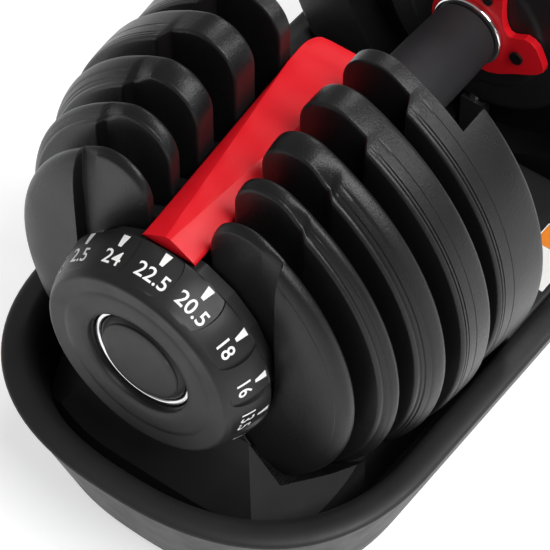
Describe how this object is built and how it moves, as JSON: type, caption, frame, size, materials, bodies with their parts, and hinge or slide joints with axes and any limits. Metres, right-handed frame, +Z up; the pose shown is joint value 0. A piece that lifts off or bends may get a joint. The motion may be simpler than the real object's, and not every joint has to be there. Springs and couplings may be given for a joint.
{
  "type": "adjustable dumbbell",
  "caption": "Dial-selected adjustable dumbbell with slotted weight plates, red bridges and a rubber grip, docked in its black storage tray.",
  "frame": {"origin": "on the table, centred under the grip", "axes": "+X along the shaft, -X is the end nearest the viewer; +Z up"},
  "size_m": [0.439, 0.2152, 0.2279],
  "materials": {
    "black_plastic": "fine moulded texture, satin",
    "plate_coat": "moulded black coat over a metal core, satin",
    "red_plastic": "satin",
    "grip_rubber": "soft matt",
    "chrome": "polished",
    "steel": "zinc plated",
    "grey_plastic": "matt",
    "paper": "printed film"
  },
  "bodies": {
    "tray": {"tray_skirt": "black_plastic", "tray_liner": "black_plastic", "left_front_foot": "grip_rubber", "left_rear_foot": "grip_rubber", "right_front_foot": "grip_rubber", "right_rear_foot": "grip_rubber", "left_release_post": "grey_plastic", "right_release_post": "grey_plastic", "label": "paper"},
    "handle": {"grip": "grip_rubber", "handle_tube": "steel", "tie_rod": "steel", "left_bridge": "red_plastic", "left_inner_disc": "black_plastic", "left_collar": "chrome", "left_lock_spring": "steel", "left_rod_nut": "steel", "left_ear_screw": "steel", "left_strip_screw_1": "steel", "left_strip_screw_2": "steel", "right_bridge": "red_plastic", "right_inner_disc": "black_plastic", "right_collar": "chrome", "right_lock_spring": "steel", "right_rod_nut": "steel", "right_ear_screw": "steel", "right_strip_screw_1": "steel", "right_strip_screw_2": "steel"},
    "left_dial": {"left_dial": "black_plastic", "left_trim_ring": "chrome", "left_dial_cap": "black_plastic", "left_hub_sleeve": "grey_plastic", "left_selector_disc_1": "grey_plastic", "left_selector_disc_2": "grey_plastic", "left_selector_disc_3": "grey_plastic", "left_selector_disc_4": "grey_plastic", "left_selector_disc_5": "grey_plastic"},
    "left_plate_1": {"left_plate_1": "plate_coat"},
    "left_plate_2": {"left_plate_2": "plate_coat"},
    "left_plate_3": {"left_plate_3": "plate_coat"},
    "left_plate_4": {"left_plate_4": "plate_coat"},
    "left_plate_5": {"left_plate_5": "plate_coat"},
    "left_lock_pin": {"left_lock_pin": "steel"},
    "right_dial": {"right_dial": "black_plastic", "right_trim_ring": "chrome", "right_dial_cap": "black_plastic", "right_hub_sleeve": "grey_plastic", "right_selector_disc_1": "grey_plastic", "right_selector_disc_2": "grey_plastic", "right_selector_disc_3": "grey_plastic", "right_selector_disc_4": "grey_plastic", "right_selector_disc_5": "grey_plastic"},
    "right_plate_1": {"right_plate_1": "plate_coat"},
    "right_plate_2": {"right_plate_2": "plate_coat"},
    "right_plate_3": {"right_plate_3": "plate_coat"},
    "right_plate_4": {"right_plate_4": "plate_coat"},
    "right_plate_5": {"right_plate_5": "plate_coat"},
    "right_lock_pin": {"right_lock_pin": "steel"}
  },
  "joints": [
    {"name": "handle_lift", "type": "slide", "parent": "tray", "child": "handle", "axis": [0, 0, 1], "range_m": [0, 0.25]},
    {"name": "left_dial_turn", "type": "hinge", "parent": "handle", "child": "left_dial", "pos_m": [-0.183, 0, 0.127], "axis": [-1, 0, 0], "continuous": true},
    {"name": "left_plate_2_lift", "type": "slide", "parent": "tray", "child": "left_plate_2", "axis": [0, 0, 1], "range_m": [0, 0.25]},
    {"name": "left_plate_3_lift", "type": "slide", "parent": "tray", "child": "left_plate_3", "axis": [0, 0, 1], "range_m": [0, 0.25]},
    {"name": "left_plate_4_lift", "type": "slide", "parent": "tray", "child": "left_plate_4", "axis": [0, 0, 1], "range_m": [0, 0.25]},
    {"name": "left_plate_5_lift", "type": "slide", "parent": "tray", "child": "left_plate_5", "axis": [0, 0, 1], "range_m": [0, 0.25]},
    {"name": "left_plate_1_stay", "type": "slide", "parent": "handle", "child": "left_plate_1", "axis": [0, 0, 1], "range_m": [-0.25, 0]},
    {"name": "left_lock_pin_drop", "type": "slide", "parent": "handle", "child": "left_lock_pin", "axis": [0, 0, 1], "range_m": [-0.005, 0], "deforming": ["left_lock_spring"]},
    {"name": "right_dial_turn", "type": "hinge", "parent": "handle", "child": "right_dial", "pos_m": [0.183, 0, 0.127], "axis": [1, 0, 0], "continuous": true},
    {"name": "right_plate_2_lift", "type": "slide", "parent": "tray", "child": "right_plate_2", "axis": [0, 0, 1], "range_m": [0, 0.25]},
    {"name": "right_plate_3_lift", "type": "slide", "parent": "tray", "child": "right_plate_3", "axis": [0, 0, 1], "range_m": [0, 0.25]},
    {"name": "right_plate_4_lift", "type": "slide", "parent": "tray", "child": "right_plate_4", "axis": [0, 0, 1], "range_m": [0, 0.25]},
    {"name": "right_plate_5_lift", "type": "slide", "parent": "tray", "child": "right_plate_5", "axis": [0, 0, 1], "range_m": [0, 0.25]},
    {"name": "right_plate_1_stay", "type": "slide", "parent": "handle", "child": "right_plate_1", "axis": [0, 0, 1], "range_m": [-0.25, 0]},
    {"name": "right_lock_pin_drop", "type": "slide", "parent": "handle", "child": "right_lock_pin", "axis": [0, 0, 1], "range_m": [-0.005, 0], "deforming": ["right_lock_spring"]}
  ],
  "couplings": [
    {"joint": "left_plate_2_lift", "follows": "handle_lift", "ratio": 1},
    {"joint": "left_plate_3_lift", "follows": "handle_lift", "ratio": 1},
    {"joint": "left_plate_4_lift", "follows": "handle_lift", "ratio": 1},
    {"joint": "left_plate_5_lift", "follows": "handle_lift", "ratio": 1},
    {"joint": "left_plate_1_stay", "follows": "handle_lift", "ratio": -1},
    {"joint": "left_lock_pin_drop", "follows": "handle_lift", "ratio": -0.02},
    {"joint": "right_plate_2_lift", "follows": "handle_lift", "ratio": 1},
    {"joint": "right_plate_3_lift", "follows": "handle_lift", "ratio": 1},
    {"joint": "right_plate_4_lift", "follows": "handle_lift", "ratio": 1},
    {"joint": "right_plate_5_lift", "follows": "handle_lift", "ratio": 1},
    {"joint": "right_plate_1_stay", "follows": "handle_lift", "ratio": -1},
    {"joint": "right_lock_pin_drop", "follows": "handle_lift", "ratio": -0.02}
  ]
}
